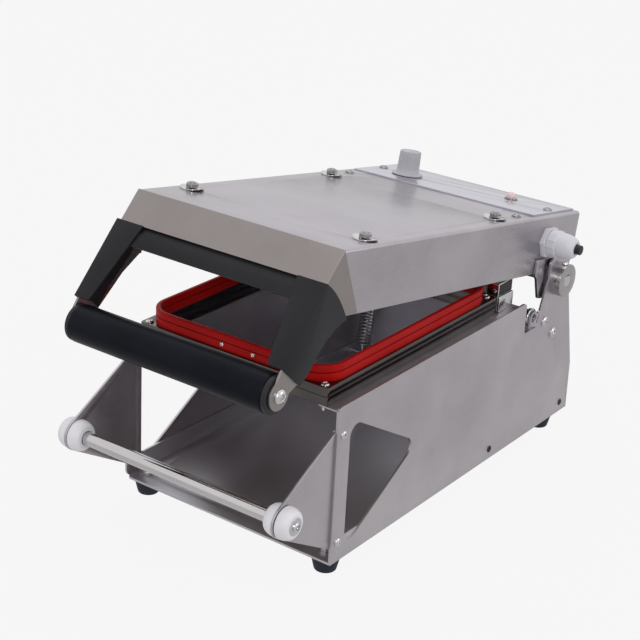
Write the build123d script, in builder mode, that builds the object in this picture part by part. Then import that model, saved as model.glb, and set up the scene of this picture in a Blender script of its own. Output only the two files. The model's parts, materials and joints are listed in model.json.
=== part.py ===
from build123d import *
from math import cos, radians, sin
import os

# Table-top lever sealing machine for cups and trays: an open-fronted sheet steel base with
# a film rod, a mould frame with a silicone ring, and a hinged, heated lid with a grip bar.
# Millimetres. +X is the machine's right side, -Y its front (the grip bar), +Z is up.
# The origin is under the middle of the whole machine, on the surface it stands on.

os.makedirs("parts", exist_ok=True)
SIDES = (-1, 1)

# ---------------------------------------------------------------- driving dimensions
machine_width = 230.0        # over the two side plates
side_length = 406.3          # side plates, front to rear
side_height = 145.0          # side plates, bottom edge to top edge
side_sheet = 2.0
foot_height = 15.0
foot_radius = 13.0

hinge_setback = 48.6         # hinge axis to the rear end of the side plates
hinge_height = 153.5         # hinge axis above the bottom edge of the side plates
lid_open_angle = 9.8         # degrees; where the lift springs hold the lid
lid_overhang = 9.0           # closed lid's front fold, ahead of the side plates
lid_tail = 41.0              # lid behind the hinge axis
lid_top_rise = 61.0          # lid's top face above the hinge axis, when it is closed
lid_side_rise = 6.0          # lower edge of the lid's side walls above the hinge axis
lid_rear_rise = 16.0         # lower edge of its rear wall
lid_sheet = 2.0
lid_side_gap = 5.6           # lid side to the inner face of the side plate

tray_side_gap = 12.1         # mould frame to the inner face of the side plate
tray_front = 3.0             # mould frame behind the front edge of the side plates
tray_length = 265.0
tray_height = 16.0           # two stacked frames
tray_top = 157.0             # above the bottom edge of the side plates
gasket_margin = 2.4          # mould frame's edge to the silicone ring
gasket_front_margin = 2.5
gasket_rear_margin = 5.5
gasket_wall = 4.5
gasket_layer = 7.0           # two layers
gasket_radius = 25.0
heater_thickness = 12.0

film_rod_radius = 6.0
film_rod_reach = 65.0        # rod axis ahead of the side plates
film_rod_height = 69.5       # above the bottom edge of the side plates
grip_radius = 16.5
grip_reach = 59.0            # grip axis ahead of the lid's front fold, in the lid's own frame
grip_drop = 109.0            # grip axis below the lid's top face, in the lid's own frame

# ---------------------------------------------------------------- clearances
running_gap = 0.05           # shaft in a bore, on the radius
lid_gap = 0.3                # between faces that close on each other
seat_gap = 0.05              # a fastener's shank in a clearance hole
side_play = 0.6              # turning piece to the plate beside it

# ---------------------------------------------------------------- overall frame
half_width = machine_width / 2
inner_half = half_width - side_sheet
lid_half = inner_half - lid_side_gap
lid_inner_half = lid_half - lid_sheet
tilt = radians(lid_open_angle)

hinge_cap_depth = 10.0
hinge_cap_radius = 16.0
dome_depth = 11.0            # film rod's end domes
rod_washer_depth = 0.8
rod_screw_depth = 2.4
gland_reach = 36.0           # end of the lead stub beyond the lid's side
left_reach = inner_half + side_play + dome_depth + rod_washer_depth + rod_screw_depth
right_reach = lid_half + gland_reach
mid_x = (left_reach - right_reach) / 2

hinge_from_front = side_length - hinge_setback
lid_front = -(hinge_from_front + lid_overhang)      # lid's own frame, from the hinge axis
lid_top = lid_top_rise
lid_bottom = lid_side_rise
grip_y = lid_front - grip_reach
grip_z = lid_top - grip_drop
front_reach = hinge_from_front + grip_y * cos(tilt) + grip_z * sin(tilt) - grip_radius
rear_reach = hinge_from_front + lid_tail * cos(tilt) + lid_top * sin(tilt)
front_y = -(front_reach + rear_reach) / 2           # front edge of the side plates
rear_y = front_y + side_length
base_z = foot_height                                # bottom edge of the side plates
top_z = base_z + side_height
hinge_y = front_y + hinge_from_front
hinge_z = base_z + hinge_height

# The lid's own frame: origin on the hinge axis at mid width, +Z out of its top face.
lid = Plane(origin=(mid_x, hinge_y, hinge_z), x_dir=(1, 0, 0), z_dir=(0, sin(tilt), cos(tilt)))


def side_plane(x):
    """A plane across the machine at x from its middle; sketches on it are in (y, z)."""
    return Plane(origin=(mid_x + x, 0, 0), x_dir=(0, 1, 0), z_dir=(1, 0, 0))


def lid_side_plane(x):
    """The same for the lid: sketches on it are in the lid's own (y, z)."""
    return Plane(origin=lid.from_local_coords((x, 0, 0)), x_dir=lid.y_dir, z_dir=lid.x_dir)


def level(z):
    """A level plane at height z, with its origin at mid width."""
    return Plane(origin=(mid_x, 0, z), x_dir=(1, 0, 0), z_dir=(0, 0, 1))


def outward(x, y, z, side):
    """A plane on the machine's side that faces out to the left (-1) or right (1)."""
    return Plane(origin=(mid_x + x, y, z), x_dir=(0, 1, 0), z_dir=(side, 0, 0))


def lid_outward(x, y, z, side):
    """A plane on the lid's side that faces out to the left (-1) or right (1)."""
    origin = lid.from_local_coords((x, y, z))
    return Plane(origin=origin, x_dir=lid.y_dir, z_dir=lid.x_dir * side)


def add_disc(plane, radius, height, taper=0.0):
    with BuildSketch(plane) as disc:
        Circle(radius)
    extrude(disc.sketch, amount=height, taper=taper)


def cut_disc(plane, radius, depth):
    with BuildSketch(plane) as disc:
        Circle(radius)
    extrude(disc.sketch, amount=-depth, mode=Mode.SUBTRACT)


def cut_through_x(y, z, radius):
    """Bores a hole right across the machine."""
    with BuildSketch(side_plane(-machine_width)) as bore:
        with Locations((y, z)):
            Circle(radius)
    extrude(bore.sketch, amount=2 * machine_width, mode=Mode.SUBTRACT)


def save(piece, name):
    piece.part.label = name
    export_step(piece.part, f"parts/{name}.step")


# ---------------------------------------------------------------- side plates
window_front = 18.5
window_bottom = 6.8
window_top = 129.2
window_apex_y = 123.8
window_apex_z = 69.0
window_corner = 10.0
notch_ahead_of_hinge = 35.0  # notch's rear wall, ahead of the hinge axis
notch_width = 21.8
notch_floor = 113.6
tower_top_z = 177.5
tower_front_lean = 17.5
tower_rear_lean = 34.0
waist_height = 50.0
tower_radius = 7.0
shoulder_radius = 5.0
toe_radius = 8.0
hinge_shaft_radius = 6.0
wing_screw_y = 9.0
wing_screw_heights = (18.9, 118.5)
pan_screw_y = (254.8, 391.6)
pan_screw_z = 10.0
tower_bolt_places = ((-18.5, -39.2), (0.6, -56.5))   # from the hinge axis
tower_bolt_radius = 2.5
m4_radius = 2.0

notch_y1 = hinge_y - notch_ahead_of_hinge
notch_y0 = notch_y1 - notch_width


side_outline = (
    (front_y, base_z),
    (rear_y, base_z),
    (rear_y - 1.5, base_z + waist_height),
    (rear_y - tower_rear_lean, base_z + tower_top_z),
    (notch_y1 + tower_front_lean, base_z + tower_top_z),
    (notch_y1 + tower_front_lean, base_z + hinge_height + 3.5),
    (notch_y1 + tower_front_lean - 8.5, base_z + hinge_height - 14.7),
    (notch_y1, base_z + notch_floor),
    (notch_y0, base_z + notch_floor),
    (notch_y0, top_z),
    (front_y, top_z),
)
window_outline = (
    (front_y + window_front, base_z + window_bottom),
    (front_y + window_apex_y, base_z + window_apex_z),
    (front_y + window_front, base_z + window_top),
)


def side_plate(side):
    plane = side_plane(side * (half_width - side_sheet / 2) - side_sheet / 2)
    with BuildPart() as plate:
        with BuildSketch(plane) as outline:
            with BuildLine():
                Polyline(*side_outline, close=True)
            make_face()
            fillet(outline.vertices().group_by(Axis.Y)[-1], tower_radius)
            fillet(outline.vertices().sort_by_distance((front_y, top_z))[0], shoulder_radius)
            fillet(outline.vertices().sort_by_distance((notch_y0, top_z))[0], shoulder_radius)
            fillet(outline.vertices().sort_by_distance((notch_y0, base_z + notch_floor))[0], 2)
            if side < 0:
                fillet(outline.vertices().sort_by_distance((front_y, base_z))[0], toe_radius)
        extrude(amount=side_sheet)
        with BuildSketch(plane) as window:
            with BuildLine():
                Polyline(*window_outline, close=True)
            make_face()
            fillet(window.vertices(), window_corner)
        extrude(amount=side_sheet, mode=Mode.SUBTRACT)
        with BuildSketch(plane):
            with Locations((hinge_y, hinge_z)):
                Circle(hinge_shaft_radius + running_gap)
            with Locations(*[(front_y + wing_screw_y, base_z + z) for z in wing_screw_heights]):
                Circle(m4_radius + seat_gap)
            with Locations(*[(front_y + y, base_z + pan_screw_z) for y in pan_screw_y]):
                Circle(m4_radius + seat_gap)
            with Locations(*[(hinge_y + y, hinge_z + z) for y, z in tower_bolt_places]):
                Circle(tower_bolt_radius + seat_gap)
        extrude(amount=side_sheet, mode=Mode.SUBTRACT)
    return plate


left_side_plate = side_plate(-1)
right_side_plate = side_plate(1)
save(left_side_plate, "left_side_plate")
save(right_side_plate, "right_side_plate")

# ---------------------------------------------------------------- floor pan and rear panel
pan_sheet = 2.0
pan_flange = 20.0
pan_flange_setback = 20.0    # behind the film wings
rear_panel_inset = 18.0
pan_rear_inset = 4.0
rear_panel_top = 98.0
rear_hem = 7.0
foot_inset_x = 15.0
foot_inset_front = 15.0
foot_inset_rear = 28.0
foot_screw_radius = 2.5

foot_places = [
    (side * (half_width - foot_inset_x), y)
    for side in SIDES
    for y in (front_y + foot_inset_front, rear_y - foot_inset_rear)
]
pan_rear = rear_y - pan_rear_inset
flange_front = front_y + pan_flange_setback
rear_panel_y = rear_y - rear_panel_inset
rear_panel_half = inner_half - pan_sheet

with BuildPart() as floor_pan:
    with BuildSketch(level(base_z)) as pan_shape:
        with Locations((0, (front_y + pan_rear) / 2)):
            Rectangle(2 * inner_half, pan_rear - front_y)
        left_toe = pan_shape.vertices().sort_by_distance((-inner_half, front_y))[0]
        chamfer(left_toe, 3)
    extrude(amount=pan_sheet)
    # side flanges, set back behind the film wings
    for side in SIDES:
        with BuildSketch(side_plane(side * (inner_half - pan_sheet / 2) - pan_sheet / 2)):
            with Locations(((flange_front + pan_rear) / 2, base_z + pan_flange / 2)):
                Rectangle(pan_rear - flange_front, pan_flange)
        extrude(amount=pan_sheet)
    with BuildSketch(level(base_z)):
        with Locations(*foot_places):
            Circle(foot_screw_radius + seat_gap)
    extrude(amount=pan_sheet, mode=Mode.SUBTRACT)
    for y in pan_screw_y:
        cut_through_x(front_y + y, base_z + pan_screw_z, m4_radius + seat_gap)
save(floor_pan, "floor_pan")

with BuildPart() as rear_panel:
    with BuildSketch(Plane(origin=(mid_x, rear_panel_y, 0), x_dir=(1, 0, 0), z_dir=(0, -1, 0))):
        with Locations((0, base_z + (pan_sheet + rear_panel_top) / 2)):
            Rectangle(2 * rear_panel_half, rear_panel_top - pan_sheet)
    extrude(amount=side_sheet)
    # folded top hem
    with BuildSketch(level(base_z + rear_panel_top)):
        with Locations((0, rear_panel_y - rear_hem / 2)):
            Rectangle(2 * rear_panel_half, rear_hem)
    extrude(amount=side_sheet)
save(rear_panel, "rear_panel")

pan_screw_head = 3.6
with BuildPart() as pan_screws:
    for side in SIDES:
        for y in pan_screw_y:
            face = outward(side * half_width, front_y + y, base_z + pan_screw_z, side)
            add_disc(face, pan_screw_head, 0.8)
            add_disc(face, m4_radius, -(side_sheet + pan_sheet + 3))
save(pan_screws, "pan_screws")

# ---------------------------------------------------------------- feet
foot_slope = 11.0            # degrees; the feet widen upward
foot_sole_radius = foot_radius - 3.0
foot_recess_radius = 4.5
foot_recess_depth = 3.0
foot_screw_head = 4.2
foot_screw_head_depth = 2.0
foot_nut_radius = 4.6
foot_nut_depth = 4.0
foot_screw_past_pan = 2.0
with BuildPart() as rubber_feet:
    with BuildSketch(level(0)):
        with Locations(*foot_places):
            Circle(foot_sole_radius)
    extrude(amount=foot_height, taper=-foot_slope)
    with BuildSketch(level(0)):
        with Locations(*foot_places):
            Circle(foot_recess_radius)
    extrude(amount=foot_recess_depth, mode=Mode.SUBTRACT)
    with BuildSketch(level(0)):
        with Locations(*foot_places):
            Circle(foot_screw_radius + seat_gap)
    extrude(amount=foot_height, mode=Mode.SUBTRACT)
save(rubber_feet, "rubber_feet")

with BuildPart() as foot_screws:
    with BuildSketch(level(foot_recess_depth - foot_screw_head_depth)):
        with Locations(*foot_places):
            Circle(foot_screw_head)
    extrude(amount=foot_screw_head_depth)
    with BuildSketch(level(foot_recess_depth)):
        with Locations(*foot_places):
            Circle(foot_screw_radius)
    extrude(amount=foot_height + pan_sheet + foot_screw_past_pan - foot_recess_depth)
    with BuildSketch(level(base_z + pan_sheet)):
        with Locations(*foot_places):
            RegularPolygon(foot_nut_radius, 6)
    extrude(amount=foot_nut_depth)
save(foot_screws, "foot_screws")

# ---------------------------------------------------------------- film wings and film rod
wing_sheet = 2.0
wing_tab = 17.0              # the wing's part inside the side plate
wing_root_top = 121.0
wing_root_bottom = 16.5
wing_tip_radius = 14.5
dome_radius = 14.0
wing_outer = inner_half
wing_inner = inner_half - wing_sheet
rod_y = front_y - film_rod_reach
rod_z = base_z + film_rod_height


def film_wing(side):
    plane = side_plane(side * (wing_outer + wing_inner) / 2 - wing_sheet / 2)
    with BuildPart() as wing:
        with BuildSketch(plane):
            with BuildLine():
                Polyline(
                    (front_y + wing_tab, base_z + wing_root_bottom - 3.5),
                    (front_y + wing_tab, base_z + wing_root_top + 3.5),
                    (front_y + 3, base_z + wing_root_top + 3.5),
                    (rod_y - wing_tip_radius * 0.49, rod_z + wing_tip_radius * 0.87),
                    (rod_y - wing_tip_radius * 0.49, rod_z - wing_tip_radius * 0.87),
                    (front_y + 3, base_z + wing_root_bottom - 3.5),
                    close=True,
                )
            make_face()
            with Locations((rod_y, rod_z)):
                Circle(wing_tip_radius)
                Circle(film_rod_radius + running_gap, mode=Mode.SUBTRACT)
            with Locations(*[(front_y + wing_screw_y, base_z + z) for z in wing_screw_heights]):
                Circle(m4_radius + seat_gap, mode=Mode.SUBTRACT)
        extrude(amount=wing_sheet)
    return wing


left_film_wing = film_wing(-1)
right_film_wing = film_wing(1)
save(left_film_wing, "left_film_wing")
save(right_film_wing, "right_film_wing")

with BuildPart() as wing_bolts:
    for side in SIDES:
        for z in wing_screw_heights:
            face = outward(side * half_width, front_y + wing_screw_y, base_z + z, side)
            add_disc(face, 3.8, 2.4, taper=25)
            add_disc(face, m4_radius, -(side_sheet + wing_sheet + 5))
            nut_face = outward(side * wing_inner, front_y + wing_screw_y, base_z + z, side)
            with BuildSketch(nut_face):
                RegularPolygon(4.0, 6)
            extrude(amount=-3.2)
save(wing_bolts, "wing_bolts")


def rod_domes(name, x_face, direction):
    """Two nylon domes on the wings' faces; direction is 1 outward, -1 inward."""
    with BuildPart() as domes:
        for side in SIDES:
            with BuildSketch(Plane(origin=(mid_x, rod_y, rod_z), x_dir=(1, 0, 0), z_dir=(0, -1, 0))):
                with BuildLine():
                    root = side * x_face
                    tip = side * (x_face + direction * dome_depth)
                    inner = film_rod_radius + running_gap
                    Polyline((root, dome_radius), (root, inner), (tip, inner), (tip, inner + 3.0))
                    Spline(
                        (tip, inner + 3.0),
                        (root + (tip - root) * 0.62, dome_radius - 2.4),
                        (root, dome_radius),
                        tangents=((0, 1), (root - tip, 0)),
                    )
                make_face()
            revolve(axis=Axis((mid_x, rod_y, rod_z), (1, 0, 0)))
    save(domes, name)
    return domes


inner_rod_domes = rod_domes("inner_rod_domes", wing_inner, -1)
outer_rod_domes = rod_domes("outer_rod_domes", wing_outer + side_play, 1)

rod_half = wing_outer + side_play + dome_depth
with BuildPart() as film_rod:
    with BuildSketch(side_plane(-rod_half)):
        with Locations((rod_y, rod_z)):
            Circle(film_rod_radius)
    extrude(amount=2 * rod_half)
save(film_rod, "film_rod")

with BuildPart() as rod_end_screws:
    for side in SIDES:
        add_disc(outward(side * rod_half, rod_y, rod_z, side), 7.5, rod_washer_depth)
        screw_face = outward(side * (rod_half + rod_washer_depth), rod_y, rod_z, side)
        add_disc(screw_face, 4.4, rod_screw_depth, taper=20)
save(rod_end_screws, "rod_end_screws")

# ---------------------------------------------------------------- mould frame on its rails
rail_sheet = 1.5
rail_width = 20.0
rail_leg = 12.5
rail_leg_setback = 20.0      # behind the film wings
tray_half = inner_half - tray_side_gap
tray_y0 = front_y + tray_front
tray_y1 = tray_y0 + tray_length
tray_z1 = base_z + tray_top
tray_z0 = tray_z1 - tray_height
rail_end = notch_y0 - 4.0
gasket_half = tray_half - gasket_margin
gasket_y0 = tray_y0 + gasket_front_margin
gasket_y1 = tray_y1 - gasket_rear_margin
gasket_length = gasket_y1 - gasket_y0
gasket_mid = (gasket_y0 + gasket_y1) / 2
mould_half = gasket_half - gasket_wall
mould_y0 = gasket_y0 + gasket_wall
mould_y1 = gasket_y1 - gasket_wall
tray_corner = 3.0
mould_screw_places = [
    (side * (tray_half - inset_x), y)
    for side in SIDES
    for inset_x, y in ((6.5, tray_y0 + 5.5), (8.0, tray_y1 - 7.0))
]

with BuildPart() as tray_rails:
    for side in SIDES:
        with BuildSketch(level(tray_z0 - rail_sheet)):
            with Locations((side * (inner_half - rail_width / 2), (tray_y0 + rail_end) / 2)):
                Rectangle(rail_width, rail_end - tray_y0)
            with Locations(*mould_screw_places):
                Circle(m4_radius + 1.0, mode=Mode.SUBTRACT)
        extrude(amount=rail_sheet)
        with BuildSketch(side_plane(side * (inner_half - rail_sheet / 2) - rail_sheet / 2)):
            leg_front = front_y + rail_leg_setback
            with Locations(((leg_front + rail_end) / 2, tray_z0 - rail_sheet - rail_leg / 2)):
                Rectangle(rail_end - leg_front, rail_leg)
        extrude(amount=rail_sheet)
save(tray_rails, "tray_rails")


def mould_frame(name, z, height):
    with BuildPart() as frame_part:
        with BuildSketch(level(z)):
            with Locations((0, (tray_y0 + tray_y1) / 2)):
                RectangleRounded(2 * tray_half, tray_length, tray_corner)
            with Locations((0, gasket_mid)):
                RectangleRounded(
                    2 * mould_half, mould_y1 - mould_y0, gasket_radius - gasket_wall, mode=Mode.SUBTRACT
                )
            with Locations(*mould_screw_places):
                Circle(m4_radius + seat_gap, mode=Mode.SUBTRACT)
        extrude(amount=height)
    save(frame_part, name)
    return frame_part


frame_gap = 0.4
frame_height = (tray_height - frame_gap) / 2
mould_frame_lower = mould_frame("mould_frame_lower", tray_z0, frame_height)
mould_frame_upper = mould_frame("mould_frame_upper", tray_z0 + frame_height + frame_gap, frame_height)

mould_bolt_head = 3.4
mould_bolt_head_depth = 2.0
mould_nut_radius = 4.2
mould_nut_depth = 3.2
with BuildPart() as mould_bolts:
    with BuildSketch(level(tray_z1)):
        with Locations(*mould_screw_places):
            Circle(mould_bolt_head)
    extrude(amount=mould_bolt_head_depth, taper=20)
    with BuildSketch(level(tray_z1)):
        with Locations(*mould_screw_places):
            Circle(m4_radius)
    extrude(amount=-(tray_height + rail_sheet + 5))
    with BuildSketch(level(tray_z0 - rail_sheet)):
        with Locations(*mould_screw_places):
            RegularPolygon(mould_nut_radius, 6)
    extrude(amount=-mould_nut_depth)
save(mould_bolts, "mould_bolts")


def gasket_ring(name, z):
    with BuildPart() as ring:
        with BuildSketch(level(z)):
            with Locations((0, gasket_mid)):
                RectangleRounded(2 * gasket_half, gasket_length, gasket_radius)
                RectangleRounded(
                    2 * mould_half, mould_y1 - mould_y0, gasket_radius - gasket_wall, mode=Mode.SUBTRACT
                )
        extrude(amount=gasket_layer)
        if z == tray_z1:
            for x in gasket_screw_x:
                face = Plane(
                    origin=(mid_x + x, gasket_y0, z + gasket_screw_z), x_dir=(1, 0, 0), z_dir=(0, -1, 0)
                )
                cut_disc(face, gasket_screw_shank + seat_gap, 6)
    save(ring, name)
    return ring


gasket_screw_x = (-11.0, 22.0)
gasket_screw_z = 4.5
gasket_screw_shank = 1.0
gasket_lower = gasket_ring("gasket_lower", tray_z1)
gasket_upper = gasket_ring("gasket_upper", tray_z1 + gasket_layer)
gasket_top = tray_z1 + 2 * gasket_layer

with BuildPart() as gasket_screws:
    for x in gasket_screw_x:
        face = Plane(
            origin=(mid_x + x, gasket_y0, tray_z1 + gasket_screw_z), x_dir=(1, 0, 0), z_dir=(0, -1, 0)
        )
        add_disc(face, 1.9, 1.0, taper=20)
        add_disc(face, gasket_screw_shank, -5)
save(gasket_screws, "gasket_screws")

# ---------------------------------------------------------------- cross members at the rear
tube_depth = 25.0
tube_wall = 1.5
tube_bore = 2 * tube_wall    # taken off each outside size
plug_depth = 12.0
tube_gap = 1.0
block_width = 12.0
block_height = 12.0
strap_sheet = 1.5
tube_y0 = tray_y1 + tube_gap
tube_mid_y = tube_y0 + tube_depth / 2
tube_mid_z = tray_z0 + tray_height / 2

with BuildPart() as rear_cross_tube:
    with BuildSketch(side_plane(-tray_half)):
        with Locations((tube_mid_y, tube_mid_z)):
            RectangleRounded(tube_depth, tray_height, 2)
            RectangleRounded(tube_depth - tube_bore, tray_height - tube_bore, 1, mode=Mode.SUBTRACT)
    extrude(amount=2 * tray_half)
save(rear_cross_tube, "rear_cross_tube")

with BuildPart() as tube_end_plugs:
    for side in SIDES:
        with BuildSketch(outward(side * tray_half, tube_mid_y, tube_mid_z, side)):
            RectangleRounded(tube_depth, tray_height, 2)
        extrude(amount=2)
        with BuildSketch(outward(side * tray_half, tube_mid_y, tube_mid_z, side)):
            plug_trim = tube_bore + 2 * seat_gap
            RectangleRounded(tube_depth - plug_trim, tray_height - plug_trim, 1)
        extrude(amount=-plug_depth)
save(tube_end_plugs, "tube_end_plugs")

# stop blocks on the tube, each with a steel strap over its front
block_mid_x = tray_half - block_width / 2
with BuildPart() as stop_blocks:
    with BuildSketch(level(tray_z1)):
        with Locations(*[(side * block_mid_x, tube_mid_y + strap_sheet / 2) for side in SIDES]):
            Rectangle(block_width, tube_depth - strap_sheet)
    extrude(amount=block_height - strap_sheet)
save(stop_blocks, "stop_blocks")

with BuildPart() as stop_straps:
    for side in SIDES:
        with BuildSketch(side_plane(side * block_mid_x - block_width / 2)) as strap:
            with BuildLine():
                Polyline(
                    (tube_y0, tray_z1),
                    (tube_y0, tray_z1 + block_height),
                    (tube_y0 + tube_depth, tray_z1 + block_height),
                    (tube_y0 + tube_depth, tray_z1 + block_height - strap_sheet),
                    (tube_y0 + strap_sheet, tray_z1 + block_height - strap_sheet),
                    (tube_y0 + strap_sheet, tray_z1),
                    close=True,
                )
            make_face()
            fillet(strap.vertices().sort_by_distance((tube_y0, tray_z1 + block_height))[0], strap_sheet)
        extrude(amount=block_width)
save(stop_straps, "stop_straps")

cross_rod_radius = 4.0
sleeve_radius = 7.0
disc_radius = 8.8
disc_thickness = 4.0
disc_inset = 2.3             # disc's outer face to the side plate, past the tower plate
cross_rod_y = notch_y1 - 2.0
cross_rod_z = base_z + notch_floor + disc_radius + 0.5
sleeve_half = inner_half - disc_inset - disc_thickness
cross_rod_half = sleeve_half + disc_thickness

with BuildPart() as cross_rod:
    with BuildSketch(side_plane(-cross_rod_half)):
        with Locations((cross_rod_y, cross_rod_z)):
            Circle(cross_rod_radius)
    extrude(amount=2 * cross_rod_half)
save(cross_rod, "cross_rod")

with BuildPart() as cross_rod_sleeve:
    with BuildSketch(side_plane(-sleeve_half)):
        with Locations((cross_rod_y, cross_rod_z)):
            Circle(sleeve_radius)
            Circle(cross_rod_radius + seat_gap, mode=Mode.SUBTRACT)
    extrude(amount=2 * sleeve_half)
save(cross_rod_sleeve, "cross_rod_sleeve")

with BuildPart() as cross_rod_discs:
    for side in SIDES:
        with BuildSketch(outward(side * sleeve_half, cross_rod_y, cross_rod_z, side)):
            Circle(disc_radius)
            Circle(cross_rod_radius + seat_gap, mode=Mode.SUBTRACT)
        extrude(amount=disc_thickness)
save(cross_rod_discs, "cross_rod_discs")

# ---------------------------------------------------------------- hinge: towers, shaft, caps
tower_plate_sheet = 2.0
tower_plate_mid = inner_half - tower_plate_sheet / 2
rod_lug_radius = 7.0
with BuildPart() as tower_plates:
    for side in SIDES:
        with BuildSketch(side_plane(side * tower_plate_mid - tower_plate_sheet / 2)):
            with BuildLine():
                Polyline(
                    (cross_rod_y - rod_lug_radius, cross_rod_z),
                    (cross_rod_y - rod_lug_radius, hinge_z - 68),
                    (hinge_y - 8, hinge_z - 76),
                    (hinge_y + 15, hinge_z - 76),
                    (hinge_y + 13, hinge_z + 13),
                    (hinge_y - 10, hinge_z + 13),
                    (hinge_y - 15, hinge_z - 13),
                    (cross_rod_y + rod_lug_radius, cross_rod_z),
                    close=True,
                )
            make_face()
            with Locations((cross_rod_y, cross_rod_z)):
                Circle(rod_lug_radius)
                Circle(cross_rod_radius + seat_gap, mode=Mode.SUBTRACT)
            with Locations((hinge_y, hinge_z)):
                Circle(hinge_shaft_radius + running_gap, mode=Mode.SUBTRACT)
            with Locations(*[(hinge_y + y, hinge_z + z) for y, z in tower_bolt_places]):
                Circle(tower_bolt_radius + seat_gap, mode=Mode.SUBTRACT)
        extrude(amount=tower_plate_sheet)
save(tower_plates, "tower_plates")

tower_bolt_head = 5.2
tower_bolt_grip = side_sheet + tower_plate_sheet + 3.0
tower_nut_face = inner_half - tower_plate_sheet
with BuildPart() as tower_bolts:
    for side in SIDES:
        for y, z in tower_bolt_places:
            bolt_face = outward(side * half_width, hinge_y + y, hinge_z + z, side)
            add_disc(bolt_face, tower_bolt_head, 2.8, taper=25)
            add_disc(bolt_face, tower_bolt_radius, -tower_bolt_grip)
            with BuildSketch(outward(side * tower_nut_face, hinge_y + y, hinge_z + z, side)):
                RegularPolygon(4.4, 6)
            extrude(amount=-2.5)
save(tower_bolts, "tower_bolts")

shaft_flat_depth = 1.5
with BuildPart() as hinge_shaft:
    with BuildSketch(side_plane(-(half_width + hinge_cap_depth))):
        with Locations((hinge_y, hinge_z)):
            Circle(hinge_shaft_radius)
    extrude(amount=2 * (half_width + hinge_cap_depth))
    # a flat at each end for the set screw
    for side in SIDES:
        with BuildSketch(outward(side * (half_width + hinge_cap_depth), hinge_y, hinge_z, side)):
            with Locations((0, side * (2 * hinge_shaft_radius - shaft_flat_depth))):
                Rectangle(2 * hinge_shaft_radius, 2 * hinge_shaft_radius)
        extrude(amount=-hinge_cap_depth, mode=Mode.SUBTRACT)
save(hinge_shaft, "hinge_shaft")

set_screw_radius = 2.0
set_screw_inset = 6.0
set_screw_foot = 9.0         # above the hinge axis
set_screw_head = 3.2
with BuildPart() as hinge_caps:
    for side in SIDES:
        face = outward(side * half_width, hinge_y, hinge_z, side)
        add_disc(face, hinge_cap_radius, hinge_cap_depth)
        with BuildSketch(face):
            Circle(hinge_shaft_radius + seat_gap)
        extrude(amount=hinge_cap_depth, mode=Mode.SUBTRACT)
        screw_x = mid_x + side * (half_width + set_screw_inset)
        with BuildSketch(Plane(origin=(screw_x, hinge_y, hinge_z))):
            Circle(set_screw_radius + seat_gap)
        extrude(amount=hinge_cap_radius, mode=Mode.SUBTRACT)
save(hinge_caps, "hinge_caps")

with BuildPart() as hinge_set_screws:
    for side in SIDES:
        screw_x = mid_x + side * (half_width + set_screw_inset)
        shank_foot = Plane(origin=(screw_x, hinge_y, hinge_z + set_screw_foot))
        add_disc(shank_foot, set_screw_radius, hinge_cap_radius + 0.6 - set_screw_foot)
        head_seat = Plane(origin=(screw_x, hinge_y, hinge_z + hinge_cap_radius + 0.1))
        add_disc(head_seat, set_screw_head, 2.2, taper=20)
save(hinge_set_screws, "hinge_set_screws")

# ---------------------------------------------------------------- lift springs
spring_radius = 8.0
spring_wall = 2.0
spring_plate_gap = 1.5       # coil to the tower plate
spring_x = inner_half - tower_plate_sheet - spring_plate_gap - spring_radius
spring_pin_radius = 3.0
pin_reach = 9.0              # a spring pin goes this far past the coil's middle
pin_head_radius = 4.5
pin_head_depth = 1.5
spring_foot_y = hinge_y - 2.4
spring_foot_z = base_z + 10.0
spring_head_y = 24.0         # in the lid's own frame
spring_head_z = 10.0
head = lid.from_local_coords((0, spring_head_y, spring_head_z))
foot_hook = 6.0              # the coil stops this far short of the lower pin
head_hook = 26.0             # and this far short of the upper one, clear of the hinge ear
flange_face = inner_half - pan_sheet

with BuildPart() as spring_anchor_pins:
    for side in SIDES:
        pin_face = outward(side * flange_face, spring_foot_y, spring_foot_z, side)
        add_disc(pin_face, spring_pin_radius, -(flange_face - spring_x + pin_reach))
        pin_end = outward(side * (spring_x - pin_reach), spring_foot_y, spring_foot_z, side)
        add_disc(pin_end, pin_head_radius, -pin_head_depth)
save(spring_anchor_pins, "spring_anchor_pins")

spring_axis = Vector(0, head.Y - spring_foot_y, head.Z - spring_foot_z)
spring_span = spring_axis.length
spring_dir = spring_axis.normalized()


def lift_spring(name, side):
    start = Vector(mid_x + side * spring_x, spring_foot_y, spring_foot_z) + spring_dir * foot_hook
    with BuildPart() as spring:
        with BuildSketch(Plane(origin=start, x_dir=(1, 0, 0), z_dir=spring_dir)):
            Circle(spring_radius)
            Circle(spring_radius - spring_wall, mode=Mode.SUBTRACT)
        extrude(amount=spring_span - foot_hook - head_hook)
    save(spring, name)
    return spring


left_lift_spring = lift_spring("left_lift_spring", -1)
right_lift_spring = lift_spring("right_lift_spring", 1)

# ---------------------------------------------------------------- lid shell
front_slope_y = 17.9         # the sloping front face, from the top fold to its lower edge
front_slope_z = 25.5
seam_top_y = 1.5             # front panel's side return meets the shell on a slanting seam
seam_bottom_y = 32.0
seam_gap = 0.2
heater_gap = 1.0             # heater's edge beyond the silicone ring
heater_half = gasket_half + heater_gap
heater_y0 = gasket_y0 - hinge_y - heater_gap
heater_y1 = gasket_y1 - hinge_y + heater_gap
stud_inset = 8.5             # from the heater's sides
stud_rows = (heater_y0 + 38.5, heater_y1 - 8.5)
stud_places = [(side * (heater_half - stud_inset), y) for side in SIDES for y in stud_rows]
stud_radius = 3.0
lid_fold_radius = 3.0
lid_rear_radius = 6.0
gland_y = -23.0
gland_z = lid_top - 24.5
gland_thread_radius = 10.0
lid_screw_inset = 13.5
lid_screw_y = -67.5
panel_screw_y = -6.0
knob_x = -61.5
knob_y = -12.5
knob_shaft_radius = 3.0
lamp_x = 50.0
lamp_y = 1.0
lamp_radius = 5.0
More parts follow.
